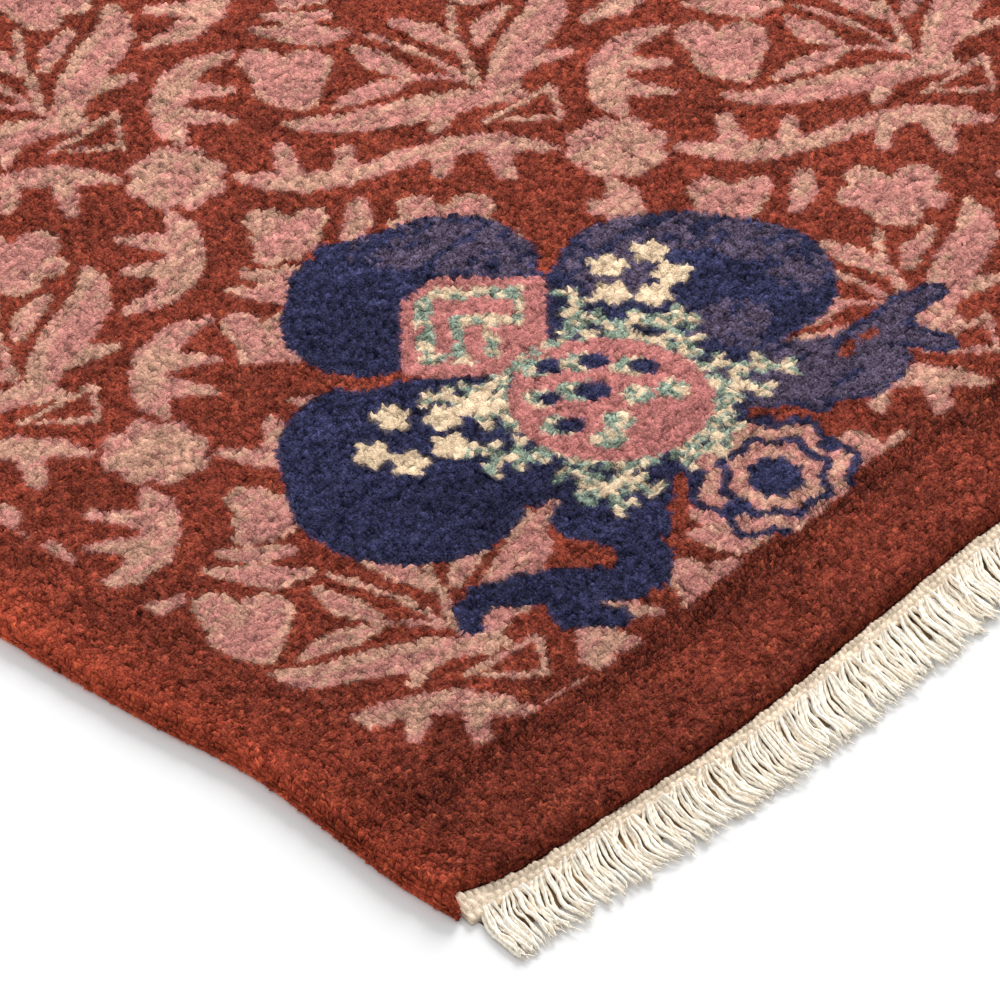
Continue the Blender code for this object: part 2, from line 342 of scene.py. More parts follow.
# How the pile rounds over, how the cloth lies, and its ends, as in the part
THICKNESS = 0.0100
EDGE_PROFILE = (
    (0.0008, 0.0000),
    (0.0000, 0.0018),
    (0.0000, 0.0042),
    (0.0013, 0.0074),
    (0.0036, 0.0093),
    (0.0068, THICKNESS),
)
UNEVENNESS = 0.0006
WAVE_ACROSS = 0.310
WAVE_ALONG = 0.430
SIDE_WAVES = (
    (0.015, 0.035, -0.0042),
    (0.120, 0.045, 0.0055),
    (0.400, 0.110, -0.0020),
    (0.760, 0.140, 0.0026),
    (1.120, 0.120, -0.0022),
    (1.400, 0.050, 0.0030),
)
END_WAVES = (
    (0.000, 0.028, 0.0115),
    (0.170, 0.085, -0.0060),
    (0.345, 0.055, 0.0035),
    (0.590, 0.100, -0.0025),
    (0.884, 0.035, 0.0070),
)
JOINT = 0.0003
WOVEN_WIDTH = 0.0090
WOVEN_INNER_HEIGHT = 0.0034
WOVEN_OUTER_HEIGHT = 0.0026
STRIP_START_OUTER = 0.0015
CORNER_RELEASE = 0.75
BUNDLES = 60
BUNDLE_CROWDING = 0.15
FRINGE_REACH = 0.0290
REACH_VARIATION = 0.0020
LEAN = 0.0100
LEAN_VARIATION = 0.0022
CURL = 0.0030

# At the drawn-in corner the side's overcasting runs on as a tail this wide, from this far back,
# and the woven strip, the dark sheet of painted shade under the fringe and the first bundle start further in
TAIL_WIDTH = 0.0040
TAIL_FADE = 0.0022
TAIL_LENGTH = 0.030
STRIP_START_INNER = 0.0066
SHADE_SHEET_START = 0.0110
FIRST_THREAD = 0.0075

# Each knot shows as about two tufts, which stand this proud of the parting between them
TUFT_COLUMNS = 340
TUFT_ROWS = 536
TUFT_DEPTH = 0.0013
TUFT_UNEVEN = 0.00048
TIP_UNEVEN = 0.00042
PILE_STRIPS = 4

# A soft ridge where the end's band meets the field: from the end, its wander and its width
RIDGE = 0.0635
RIDGE_WANDER = 0.004
RIDGE_WIDTH = 0.008

# How far in from the side the light catches it, and how much in red, green and blue
LIT_WIDTH = 0.024
LIT_GAIN = (1.45, 1.25, 1.02)

# The wools as dyed and the cotton, with a painted highlight for tuft tips, painted shade for the pile's
# crevices, and painted shade under the fringe and at its bundles' necks
WOOLS = {
    FIELD: (131, 57, 42),
    PINK: (194, 130, 121),
    BEIGE: (200, 152, 130),
    NAVY: (46, 47, 76),
    PURPLE: (88, 76, 97),
    ROSE: (190, 119, 114),
    CREAM: (232, 204, 170),
    GREEN: (138, 154, 137),
    BRIGHT: (132, 58, 42),
}
# painted highlight on tuft tips
TIP_HIGHLIGHT = (196, 100, 66)
# painted shade in the pile's crevices
CREVICE_SHADE = (62, 24, 22)
COTTON = (255, 250, 238)
AGED_COTTON = (252, 238, 218)
WEFT = (248, 226, 200)
# painted shade: a dark sheet under the fringe
SHADE_UNDER_FRINGE = (150, 124, 94)
# painted shade where the bundles' necks part
SHADE_AT_NECKS = (88, 66, 46)

# The woven ends: beads of this size, in rows whose lines lie at these shares of the width. Past 1
# the lines belong to a dark sheet of painted shade under the fringe
BEAD = 0.0030
BEAD_ROWS = 3.0
WEAVE_STEPS = 1000
NECK_LINE = 1.06
WEAVE_LINES = (
    0, 0, 0.05, 0.15, 0.25, 0.34, 0.44, 0.54, 0.64, 0.74, 0.84, 0.94, NECK_LINE, 1.5, 2.1, 2.8, 2.8,
)

# The fringe: threads in each bundle, which is narrow at its neck and spreads past its pitch
THREADS = 15
THREAD_RADIUS = 0.00084
THREAD_RINGS = 9
THREAD_SIDES = 4
THREAD_LAYERS = 4
NECK = (0.66, 0.78)
SPREAD = 1.20
THREAD_OVERLAP = 0.0012

# Frayed tips: fibres on each thread's end, their lengths and their thickness along the way
TIP_FIBRES = 2
TIP_LENGTH = (0.0020, 0.0046)
TIP_RADIUS = (0.00045, 0.00034, 0.00010)

# The setting: the camera at the photo's angle, one soft light and a pale floor
CAMERA_PLACE = (-2.3967, -2.5224, 2.3277)
CAMERA_AIM = (-0.22371, -0.53123, 0.0)
CAMERA_LENS = 304.2
CAMERA_FILM = 36.0
KEY_PLACE = (2.7, 1.1, 1.7)
KEY_AIM = (-0.2, -0.4, 0.0)
KEY_SIZE = 1.6
KEY_POWER = 192.0
SKY_STRENGTH = 0.82
FLOOR_SIZE = 14.0
FLOOR_SUNK = 0.0004
FLOOR_TONE = (0.80, 0.80, 0.80, 1.0)


def linear(colour):
    """A colour from 0 to 255 as seen on a screen, as light."""
    share = np.asarray(colour, dtype=float) / 255
    return np.where(share <= 0.04045, share / 12.92, ((share + 0.055) / 1.055) ** 2.4)


def edge_shift(waves, along):
    """How far an edge is drawn inwards at this distance from its first corner."""
    return sum(shift * np.exp(-(((along - place) / spread) ** 2)) for place, spread, shift in waves)


def lay(x, y):
    """Where points of the straight, rectangular cloth come to lie on the floor."""
    left = 0.5 - x / WIDTH
    near = np.clip(0.5 - y / LENGTH, 0.0, 1.0)
    from_left_side = left * edge_shift(SIDE_WAVES, LENGTH / 2 + y)
    from_right_side = (1 - left) * edge_shift(SIDE_WAVES, LENGTH / 2 - y)
    from_near_end = near * edge_shift(END_WAVES, WIDTH / 2 + x)
    from_far_end = (1 - near) * edge_shift(END_WAVES, WIDTH / 2 - x)
    return x + from_left_side - from_right_side, y + from_near_end - from_far_end


def corner_pull(x):
    """How far the first wave draws the end inwards, at the corner where it starts."""
    return edge_shift(END_WAVES[:1], WIDTH / 2 + x)


def lay_pile(x, y):
    """As lay, but the side's overcasting runs on past the drawn-in corner as a short tail."""
    laid_x, laid_y = lay(x, y)
    for turn in (1, -1):
        from_side = WIDTH / 2 + turn * x
        tail = 1 - np.clip((from_side - TAIL_WIDTH) / TAIL_FADE, 0, 1)
        near = np.clip((-turn * y - LENGTH / 2 + TAIL_LENGTH) / TAIL_LENGTH, 0, 1) ** 2
        laid_y = laid_y - turn * tail * near * corner_pull(turn * x)
    return laid_x, laid_y


def lay_woven(x, out):
    """Where points of the woven end or its fringe come to lie, this far out from the pile."""
    laid_x, laid_y = lay(x, -LENGTH / 2 - JOINT - out)
    return laid_x, laid_y - CORNER_RELEASE * np.clip(out / WOVEN_WIDTH, 0, 1) * corner_pull(x)


def bundle_edge(index):
    """Where along the end one bundle gives way to the next: wider apart towards the corners."""
    share = index / BUNDLES
    crowded = share + BUNDLE_CROWDING * math.sin(math.tau * share) / math.tau
    return WIDTH * (crowded - 0.5)


def crown_rise(x, y):
    """The soft waves of a cloth laid out by hand."""
    return UNEVENNESS * np.sin(math.tau * x / WAVE_ACROSS + 0.8) * np.cos(math.tau * y / WAVE_ALONG)


def soft_noise(across, along, wide, long, seed):
    """Soft random values from -1 to 1 at places in millimetres, in patches of this size."""
    table = np.random.default_rng(seed).random((64, 64)) * 2 - 1
    over, up = across / wide, along / long
    i, j = np.floor(over).astype(int), np.floor(up).astype(int)
    a, b = (1 - np.cos((over - i) * math.pi)) / 2, (1 - np.cos((up - j) * math.pi)) / 2
    i, j, right, above = i % 64, j % 64, (i + 1) % 64, (j + 1) % 64
    low = table[i, j] * (1 - a) + table[right, j] * a
    return low * (1 - b) + (table[i, above] * (1 - a) + table[right, above] * a) * b


def add_mesh(name, points, faces, finish, dye_and_shade=None, corner_maps=None, smooth=True):
    """One piece from arrays: its points, its faces of one size, and what each corner carries."""
    mesh = bpy.data.meshes.new(name)
    count, size = faces.shape
    mesh.vertices.add(len(points))
    mesh.vertices.foreach_set("co", np.ascontiguousarray(points, dtype=np.float32).ravel())
    mesh.loops.add(count * size)
    mesh.loops.foreach_set("vertex_index", np.ascontiguousarray(faces, dtype=np.int32).ravel())
    mesh.polygons.add(count)
    mesh.polygons.foreach_set("loop_start", np.arange(0, count * size, size, dtype=np.int32))
    mesh.polygons.foreach_set("loop_total", np.full(count, size, dtype=np.int32))
    mesh.update(calc_edges=True)
    mesh.polygons.foreach_set("use_smooth", np.full(count, smooth))
    if dye_and_shade is not None:
        dye_and_shade = dye_and_shade.reshape(-1, 3)
        layer = mesh.color_attributes.new("dye_and_shade", "FLOAT_COLOR", "CORNER")
        filled = np.ones((len(dye_and_shade), 4), dtype=np.float32)
        filled[:, :3] = dye_and_shade
        layer.data.foreach_set("color", filled.ravel())
    for map_name, values in (corner_maps or {}).items():
        layer = mesh.uv_layers.new(name=map_name)
        layer.data.foreach_set("uv", np.ascontiguousarray(values, dtype=np.float32).ravel())
    mesh.materials.append(finish)
    piece = bpy.data.objects.new(name, mesh)
    bpy.context.collection.objects.link(piece)
    return piece


# Finishes


class Reading:
    """A value that varies over a surface, for use in plain sums."""

    def __init__(self, owner, socket):
        self.owner = owner
        self.socket = socket

    def maths(self, operation, *values):
        return self.owner.node("ShaderNodeMath", {"operation": operation}, *values)

    def __add__(self, other):
        return self.maths("ADD", self, other)

    def __sub__(self, other):
        return self.maths("SUBTRACT", self, other)

    def __rsub__(self, other):
        return self.maths("SUBTRACT", other, self)

    def __mul__(self, other):
        return self.maths("MULTIPLY", self, other)

    def __truediv__(self, other):
        return self.maths("DIVIDE", self, other)

    def sine(self):
        return self.maths("SINE", self)

    def within(self, low, high):
        return self.maths("MAXIMUM", self.maths("MINIMUM", self, high), low)


class Finish:
    """A material, and the ways to add to it."""

    def __init__(self, name, roughness, shine=0.05):
        self.material = bpy.data.materials.new(name)
        self.material.use_nodes = True
        self.tree = self.material.node_tree
        self.shader = self.tree.nodes["Principled BSDF"]
        self.shader.inputs["Roughness"].default_value = roughness
        self.shader.inputs["Specular IOR Level"].default_value = shine

    def plug(self, socket, value):
        if isinstance(value, Reading):
            self.tree.links.new(value.socket, socket)
        else:
            socket.default_value = value

    def node(self, kind, settings=None, *values, output=0, **named):
        made = self.tree.nodes.new(kind)
        for key, value in (settings or {}).items():
            setattr(made, key, value)
        for index, value in enumerate(values):
            self.plug(made.inputs[index], value)
        for key, value in named.items():
            self.plug(made.inputs[key], value)
        return Reading(self, made.outputs[output])

    def mix(self, share, first, second):
        made = self.tree.nodes.new("ShaderNodeMix")
        made.data_type = "RGBA"
        self.plug(made.inputs[0], share)
        self.plug(made.inputs[6], first)
        self.plug(made.inputs[7], second)
        return Reading(self, made.outputs[2])

    def scaled(self, colour, factor):
        return self.node("ShaderNodeVectorMath", {"operation": "SCALE"}, colour, Scale=factor)

    def place(self):
        return self.node("ShaderNodeTexCoord", output="Object")

    def dye_and_shade(self):
        """The colour that each corner of the mesh carries, with painted light and shade where the piece has
        them.
        """
        return self.node("ShaderNodeAttribute", {"attribute_name": "dye_and_shade"}, output="Color")

    def noise(self, where, scale, detail=2.0, roughness=0.5):
        return self.node("ShaderNodeTexNoise", None, Vector=where, Scale=scale, Detail=detail,
                         Roughness=roughness)

    def finish(self, colour, height=None, depth=0.0005, strength=1.0):
        self.plug(self.shader.inputs["Base Color"], colour)
        if height is not None:
            bump = self.node("ShaderNodeBump", None, Height=height, Distance=depth, Strength=strength)
            self.plug(self.shader.inputs["Normal"], bump)
        return self.material


def wool_pile():
    """Cut wool: the knot's colour with its painted light and shade, broken up by fibre ends, and less so
    where the wool is light.
    """
    wool = Finish("wool_pile", 0.95)
    dyed_and_shaded = wool.dye_and_shade()
    fibres = wool.noise(wool.place(), 940.0, 2.0, 0.65)
    ends = wool.noise(wool.place(), 330.0, 1.0)
    light = wool.node("ShaderNodeSeparateColor", None, dyed_and_shaded, output=0)
    broken = ((fibres - 0.5) * 4.6 + (ends - 0.5) * 2.0) * (1.0 - (light * 1.3).within(0.0, 0.78)) + 1.0
    height = fibres + ends * 0.5
    return wool.finish(wool.scaled(dyed_and_shaded, broken.within(0.20, 2.2)), height, 0.0010, 0.85)


def knot_backs():
    """The underside: each knot's back shows as two small bars across the weave."""
    back = Finish("knot_backs", 0.9)
    dyed_and_shaded = back.dye_and_shade()
    here = back.place()
    across = back.node("ShaderNodeSeparateXYZ", None, here, output=0)
    along = back.node("ShaderNodeSeparateXYZ", None, here, output=1)
    bars = (across * (math.tau * 2 / KNOT)).sine() * 0.5 + (along * (math.tau / KNOT)).sine() * 0.5
    fibres = back.noise(here, 1500.0)
    shade = bars * 0.12 + (fibres - 0.5) * 0.5 + 0.9
    return back.finish(back.scaled(dyed_and_shaded, shade), bars, 0.0004, 0.8)


def woven_cotton():
    """The woven ends: cotton in its own tones, broken up by fibres."""
    cotton = Finish("woven_cotton", 0.9, shine=0.15)
    dyed_and_shaded = cotton.dye_and_shade()
    fibres = cotton.noise(cotton.place(), 1500.0, 2.0)
    shade = (fibres - 0.5) * 0.8 + 1.0
    return cotton.finish(cotton.scaled(dyed_and_shaded, shade), fibres, 0.0005, 0.9)


def plied_cotton():
    """Loose warp ends: two plies turned round each other, with painted shade a little darker where they meet.
    """
    cotton = Finish("plied_cotton", 0.88, shine=0.15)
    own = cotton.node("ShaderNodeUVMap", {"uv_map": "strand"})
    around = cotton.node("ShaderNodeSeparateXYZ", None, own, output=0)
    along = cotton.node("ShaderNodeSeparateXYZ", None, own, output=1)
    plies = ((around * 2.0 + along / 3.2) * math.tau).sine()
    fibres = cotton.noise(cotton.place(), 1900.0, 2.0)
    patches = cotton.noise(cotton.place(), 130.0, 1.0)
    pale = (patches - 0.2).within(0.0, 1.0) * 1.4
    tone = cotton.mix(pale, (*linear(AGED_COTTON), 1), (*linear(COTTON), 1))
    shade = plies * 0.05 + (fibres - 0.5) * 0.30 + 1.06
    return cotton.finish(cotton.scaled(tone, shade), plies * 0.8 + fibres, 0.0003, 0.7)


# The pile


def over_edge(out):
    """Inset and height at this distance, measured over the pile from where it meets the floor."""
    inset, height = np.array(EDGE_PROFILE).T
    run = np.concatenate(([0], np.cumsum(np.hypot(np.diff(inset), np.diff(height)))))
    return (np.where(out < run[-1], np.interp(out, run, inset), inset[-1] + out - run[-1]),
            np.interp(out, run, height))


def pile_run():
    """How much further the pile's surface runs, unfolded, than its half width on the floor."""
    inset, height = np.array(EDGE_PROFILE).T
    return float(np.hypot(np.diff(inset), np.diff(height)).sum()) - inset[-1]


def pile_surface(across, along, depth):
    """Points of the pile, given across and along its unfolded surface, and sunk this deep."""
    extra = pile_run()
    inset_x, height_x = over_edge(WIDTH / 2 + extra - np.abs(across))
    inset_y, height_y = over_edge(LENGTH / 2 + extra - np.abs(along))
    height = np.minimum(height_x, height_y)
    sunk_in = depth * (1 - height / THICKNESS)
    x = np.sign(across) * (WIDTH / 2 - inset_x - np.where(height_x <= height_y, sunk_in, 0))
    y = np.sign(along) * (LENGTH / 2 - inset_y - np.where(height_y < height_x, sunk_in, 0))
    z = height + crown_rise(x, y) * height / THICKNESS - depth * height / THICKNESS
    x, y = lay_pile(x, y)
    return np.stack([x, y, np.maximum(z, 0.0)], axis=-1)


def wool_colours(chart, across, along, seed=5):
    """The colour of every tuft, with the wool's unevenness, its streaks along the rows of knots, painted
    patches of light and shade, painted highlights on some tips and painted shade in some crevices.
    """
    shape = chart.shape
    rng = np.random.default_rng(seed)
    x, y = np.meshgrid(across * 1000, along * 1000)
    s, t = askew(x, y)
    row = np.floor(y / (KNOT * 1000))
    streaks = soft_noise(x, row, 22, 1.0, 21) * 0.7 + soft_noise(x, row, 60, 2.5, 22) * 0.3
    mixed = rng.random(shape)
    chart = chart.copy()
    chart[(chart == PINK) & (streaks + mixed * 0.8 > 0.95)] = BEIGE
    chart[(chart == BEIGE) & (streaks - mixed * 0.8 < -0.60)] = PINK
    chart[(chart == PURPLE) & (streaks > 0.36)] = NAVY
    tones = np.zeros((*shape, 3))
    for wool, colour in WOOLS.items():
        tones[chart == wool] = linear(colour)
    row_dye = soft_noise(x, row, 300, 1.0, 31) * 0.09 + soft_noise(x, row, 400, 6.0, 32) * 0.11
    # painted light and shade of the parted pile, in soft patches along the motifs' own axes
    patches = soft_noise(s, t, 46, 16, 33) * 0.17 + soft_noise(s, t, 12, 6, 34) * 0.15
    single = rng.normal(0, 0.22, shape)
    field = (chart == FIELD) | (chart == BRIGHT)
    strength = np.select([field, chart == NAVY], [1.0, 1.3], 0.50)
    from_end = LENGTH * 500 - np.abs(y)
    # the field's wool darker near both ends
    darker_near_ends = np.where(from_end < END_BAND + 20, -0.13, 0.0) * field
    tones *= np.exp((row_dye + patches + single) * strength + darker_near_ends)[..., None]
    # painted highlights on some tuft tips and painted shade in some crevices, both thicker in soft patches
    chance = rng.random(shape)
    bright = soft_noise(s, t, 30, 14, 35)
    highlighted_tips = field & (chance < 0.05 + 0.05 * bright)
    tones[highlighted_tips] = tones[highlighted_tips] * 0.5 + linear(TIP_HIGHLIGHT) * 0.5
    # painted shade: some tufts darkened as if in shadow
    shaded_crevices = field & (chance > 0.93 - 0.05 * bright)
    tones[shaded_crevices] = tones[shaded_crevices] * 0.5 + linear(CREVICE_SHADE) * 0.5
    return tones


def fan_colours(tuft_x, tuft_y, wide_step, long_step, rng):
    """The colour of each tuft's four faces, each taken at the face's own middle."""
    sides = []
    whole = rng.normal(0, 0.09, (len(tuft_y), len(tuft_x)))
    for side, (across, along) in enumerate(((0, -1), (1, 0), (0, 1), (-1, 0))):
        lines = tuft_x + across * wide_step / 3, tuft_y + along * long_step / 3
        sides.append(wool_colours(colour_chart(*lines), *lines, 5 + side) * np.exp(whole)[..., None])
    return np.stack(sides, axis=2)


def blended(dyed_and_shaded):
    """The colours where faces meet: round each parting, and at each tuft's peak."""
    rows, columns = dyed_and_shaded.shape[:2]
    total, share = np.zeros((rows + 1, columns + 1, 3)), np.zeros((rows + 1, columns + 1, 1))
    low, high = slice(0, -1), slice(1, None)
    corners = ((low, low), (low, high), (high, high), (high, low))
    for side in range(4):
        for corner in (corners[side], corners[(side + 1) % 4]):
            total[corner] += dyed_and_shaded[:, :, side]
            share[corner] += 1
    return total / share, dyed_and_shaded.mean(axis=2)


def pile_pieces(finish):
    """The tufts as low peaks, in strips that run the whole length."""
    columns, rows = TUFT_COLUMNS, TUFT_ROWS
    half_across, half_along = WIDTH / 2 + pile_run(), LENGTH / 2 + pile_run()
    wide_step, long_step = 2 * half_across / columns, 2 * half_along / rows
    rng = np.random.default_rng(3)
    tuft_x = (np.arange(columns) + 0.5) * wide_step - half_across
    tuft_y = (np.arange(rows) + 0.5) * long_step - half_along

    i, j = np.meshgrid(np.arange(columns + 1), np.arange(rows + 1))
    wander = np.where((i == 0) | (i == columns) | (j == 0) | (j == rows), 0, 1)
    across = i * wide_step - half_across + (rng.random(i.shape) - 0.5) * 0.0021 * wander
    along = j * long_step - half_along + (rng.random(i.shape) - 0.5) * 0.0021 * wander
    from_side = half_across - np.abs(across)
    from_end = half_along - np.abs(along)
    open_pile = 1.0 + 0.45 * np.exp(-((from_side / 0.045) ** 2))
    ridge = soft_noise(across * 1000, along * 1000, 18, 30, 51)
    from_ridge = (from_end - RIDGE - RIDGE_WANDER * ridge) / RIDGE_WIDTH
    open_pile += (1.0 + 0.5 * ridge) * np.exp(-(from_ridge**2))
    depth = (TUFT_DEPTH * open_pile + rng.normal(0, TUFT_UNEVEN, i.shape)).clip(-0.0004, 0.0034) * wander
    partings = pile_surface(across, along, depth)
    # painted shade: darker in the partings, the deeper they sink
    low_shade = (0.98 - 0.40 * depth / TUFT_DEPTH).clip(0.12, 1.15)

    i, j = np.meshgrid(np.arange(columns), np.arange(rows))
    across = tuft_x[i] + (rng.random(i.shape) - 0.5) * 0.0016
    along = tuft_y[j] + (rng.random(i.shape) - 0.5) * 0.0016
    outer = half_across - np.abs(across) < 0.0125
    proud = rng.normal(0, TIP_UNEVEN, i.shape).clip(-0.0011, 0.0014) - outer * rng.random(i.shape) * 0.0015
    tips = pile_surface(across, along, proud)
    # painted light and shade: brighter on tips that stand proud, darker on sunk ones
    high_shade = 1.10 - 0.35 * proud / TUFT_DEPTH
    dyed_and_shaded = fan_colours(tuft_x, tuft_y, wide_step, long_step, rng)
    # painted light along the sides
    lit = np.exp(-(((half_across - np.abs(tuft_x)) / LIT_WIDTH) ** 2))
    dyed_and_shaded = dyed_and_shaded * (1 + lit[None, :, None, None] * np.array(LIT_GAIN))
    low_shaded_dye, high_shaded_dye = blended(dyed_and_shaded)

    pieces = []
    for strip in range(PILE_STRIPS):
        first, last = columns * strip // PILE_STRIPS, columns * (strip + 1) // PILE_STRIPS
        wide = last - first
        low = partings[:, first : last + 1].reshape(-1, 3)
        high = tips[:, first:last].reshape(-1, 3)
        low_shared = low_shaded_dye[:, first : last + 1].reshape(-1, 3)
        high_shared = high_shaded_dye[:, first:last].reshape(-1, 3)
        jj, ii = np.indices((rows, wide))
        corner = (jj * (wide + 1) + ii).ravel()
        peak = (len(low) + jj * wide + ii).ravel()
        ring = (corner, corner + 1, corner + wide + 2, corner + wide + 1)
        sides = [np.stack([peak, ring[k], ring[(k + 1) % 4]], axis=1) for k in range(4)]
        faces = np.stack(sides, axis=1).reshape(-1, 3)
        shades = np.concatenate([low_shade[:, first : last + 1].ravel(), high_shade[:, first:last].ravel()])
        shared = np.concatenate([low_shared, high_shared])
        own = dyed_and_shaded[:, first:last].reshape(-1, 1, 3) * 0.5 + shared[faces] * 0.5
        # painted shade on every face, softened in light wools
        softer = 1 - 0.70 * own.max(axis=2, keepdims=True).clip(0, 1)
        colours = own * shades[faces][..., None] ** softer
        lines = [np.arange(wide + 1) / wide, np.arange(rows + 1) / rows]
        middles = [(np.arange(wide) + 0.5) / wide, (np.arange(rows) + 0.5) / rows]
        places = [np.stack(np.meshgrid(*pair), -1).reshape(-1, 2) for pair in (lines, middles)]
        bake = 0.005 + 0.99 * np.concatenate(places)[faces.ravel()]
        pieces.append(add_mesh(f"pile_strip_{strip + 1}", np.concatenate([low, high]), faces, finish,
                               colours, {"OFBake": bake}))
    return pieces


def ground_weave(finish):
    """The woven ground that holds the knots, seen on the underside with the pattern's colours."""
    columns, rows = 100, 160
    inset = EDGE_PROFILE[0][0]
    across = (np.arange(columns + 1) / columns - 0.5) * (WIDTH - 2 * inset)
    along = (np.arange(rows + 1) / rows - 0.5) * (LENGTH - 2 * inset)
    own_x, own_y = (across[1:] + across[:-1]) / 2, (along[1:] + along[:-1]) / 2
    own = wool_colours(colour_chart(own_x, own_y), own_x, own_y).reshape(-1, 1, 3)
    x, y = lay(*np.meshgrid(across, along))
    points = np.stack([x, y, np.zeros(x.shape)], axis=-1).reshape(-1, 3)
    jj, ii = np.indices((rows, columns))
    corner = (jj * (columns + 1) + ii).ravel()
    faces = np.stack([corner, corner + columns + 1, corner + columns + 2, corner + 1], axis=1)
    colours = np.broadcast_to(own * 1.05, (len(own), 4, 3))
    places = np.stack(np.meshgrid(np.arange(columns + 1) / columns, np.arange(rows + 1) / rows), -1)
    bake = places.reshape(-1, 2)[faces.ravel()]
    return add_mesh("ground_weave", points, faces, finish, colours, {"OFBake": bake}, smooth=False)


# The ends


def turned_round(points):
    """The same points at the far end."""
    return points * np.array([-1.0, -1.0, 1.0])


def woven_end(name, finish, far):
    """The flat-woven strip: rows of beads with painted shade between them, and a dark sheet of painted shade
    that shows between the bundles.
    """
    steps = WEAVE_STEPS
    a, s = np.meshgrid(np.arange(steps + 1) / steps, WEAVE_LINES, indexing="ij")
    ground = s > 1.0
    first = STRIP_START_INNER + (STRIP_START_OUTER - STRIP_START_INNER) * s.clip(0, 1) - WIDTH / 2
    first = np.where(ground, SHADE_SHEET_START - WIDTH / 2, first)
    x = first + ((a - 1 / steps) / (1 - 2 / steps)).clip(0, 1) * (WIDTH / 2 - first)
    wander = soft_noise(x * 1000, s * 9, 6, 3, 41)
    row = s * BEAD_ROWS + 0.22 * wander
    size = BEAD * (1 + 0.35 * (s > 0.33))
    beads = np.abs(np.sin(math.pi * (x / size + 0.5 * np.floor(row) + 0.30 * wander + 0.9 * s))) ** 0.8
    ridge = np.abs(np.sin(math.pi * row)) ** 0.6
    relief = beads * ridge * (1 + 0.35 * soft_noise(x * 1000, s * 9, 3, 3, 42))
    height = WOVEN_INNER_HEIGHT + (WOVEN_OUTER_HEIGHT - WOVEN_INNER_HEIGHT) * s - 0.0008
    height = height + 0.0011 * relief + 0.0005 * wander + 0.0005 * (s < 0.3) * relief
    height[ground] = 0.0005 + 0.0003 * wander[ground]
    height[:, 0] = 0.0
    height[:, -1] = 0.0
    height[0] = 0.0
    height[-1] = 0.0
    # painted shade: darker in the hollows between beads, lighter on their tops
    dye_and_shade = linear(WEFT) * (0.58 + 0.54 * relief[..., None]) * np.exp(0.16 * wander[..., None])
    # painted shade: a dark sheet under the fringe
    dye_and_shade[ground] = linear(SHADE_UNDER_FRINGE) * np.exp(0.25 * wander[ground])[:, None]
    # painted shade where the bundles' necks part
    dye_and_shade[:, WEAVE_LINES.index(NECK_LINE)] = linear(SHADE_AT_NECKS)
    # painted shade on the strip's inner edge where it meets the pile
    dye_and_shade[:, :2] *= 0.7
    under = ((s - NECK_LINE) * WOVEN_WIDTH / FRINGE_REACH).clip(0, 1)
    x = x - LEAN * under - 0.8 * CURL * np.sin(math.pi * under)
    uneven = np.where(s > 2, 0.0022, 0.0005) * wander * (s > 0.03)
    lx, ly = lay_woven(x, WOVEN_WIDTH * s + uneven)
    loop = len(WEAVE_LINES)
    points = np.stack([lx, ly, height], axis=-1).reshape(-1, 3)
    ii, kk = np.indices((steps, loop))
    base = (ii * loop + kk).ravel()
    follow = (ii * loop + (kk + 1) % loop).ravel()
    faces = np.stack([follow, follow + loop, base + loop, base], axis=1)
    lane = ii * 8 // steps
    bake = []
    for i, k in ((ii, kk + 1), (ii + 1, kk + 1), (ii + 1, kk), (ii, kk)):
        bake.append(np.stack([0.01 + 0.98 * (i * 8 / steps - lane), (lane + 0.04 + 0.92 * k / loop) / 8], -1))
    if far:
        points = turned_round(points)
    return add_mesh(name, points, faces, finish, dye_and_shade.reshape(-1, 3)[faces.ravel()],
                    {"OFBake": np.stack(bake, axis=2).reshape(-1, 2)})


def tube(path, radius, sides, twist=0.0):
    """Rings of points round a path, one row of points for each ring."""
    along = np.gradient(path, axis=0)
    along /= np.linalg.norm(along, axis=1, keepdims=True)
    sideways = np.cross(along, (0.0, 0.0, 1.0))
    sideways /= np.linalg.norm(sideways, axis=1, keepdims=True) + 1e-12
    upward = np.cross(sideways, along)
    turn = math.tau * np.arange(sides) / sides + twist
    ring = np.cos(turn)[None, :, None] * sideways[:, None, :]
    ring = ring + np.sin(turn)[None, :, None] * upward[:, None, :]
    return path[:, None, :] + ring * np.asarray(radius).reshape(-1, 1, 1)


